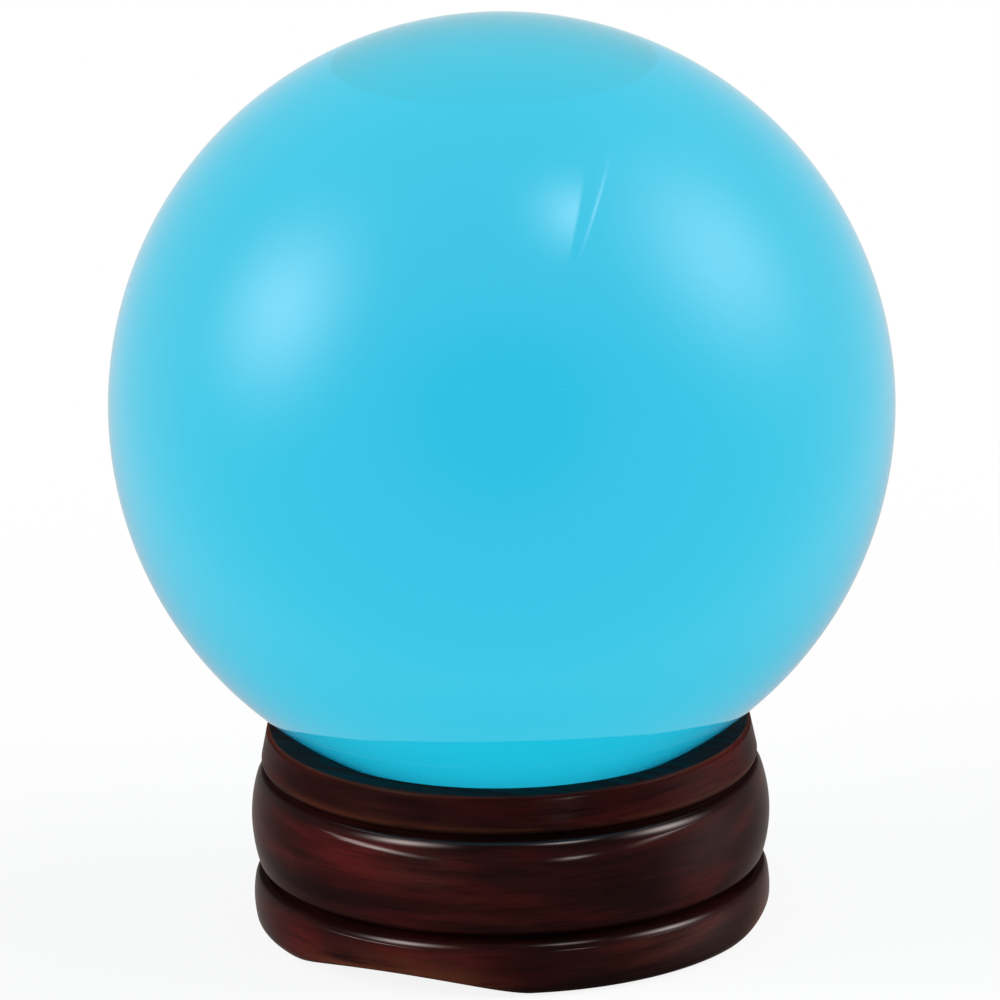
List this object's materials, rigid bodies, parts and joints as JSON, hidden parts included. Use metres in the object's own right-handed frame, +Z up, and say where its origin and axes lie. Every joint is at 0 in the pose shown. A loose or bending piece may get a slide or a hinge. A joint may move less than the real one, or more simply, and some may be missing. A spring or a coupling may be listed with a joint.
{
  "type": "glass display ball on a turned wooden stand",
  "caption": "Solid aqua-blue glass ball that lifts off a small turned, dark red lacquered wooden stand with a collar, a bead and an arched foot band.",
  "frame": {"origin": "On the surface that the stand rests on, below the middle of the ball.", "axes": "+Z up along the turning axis of the stand; -Y is the front, the middle of the arch between two feet; +X is the right of the front view."},
  "size_m": [0.08, 0.08, 0.0946],
  "materials": {
    "aqua_glass": "polished, solid and free of bubbles",
    "lacquered_wood": "dark red stain under gloss lacquer"
  },
  "bodies": {
    "stand": {"wooden_stand": "lacquered_wood"},
    "ball": {"glass_ball": "aqua_glass"}
  },
  "joints": [
    {"name": "ball_lift", "type": "slide", "parent": "stand", "child": "ball", "axis": [0, 0, 1], "range_m": [0, 0.04]}
  ]
}
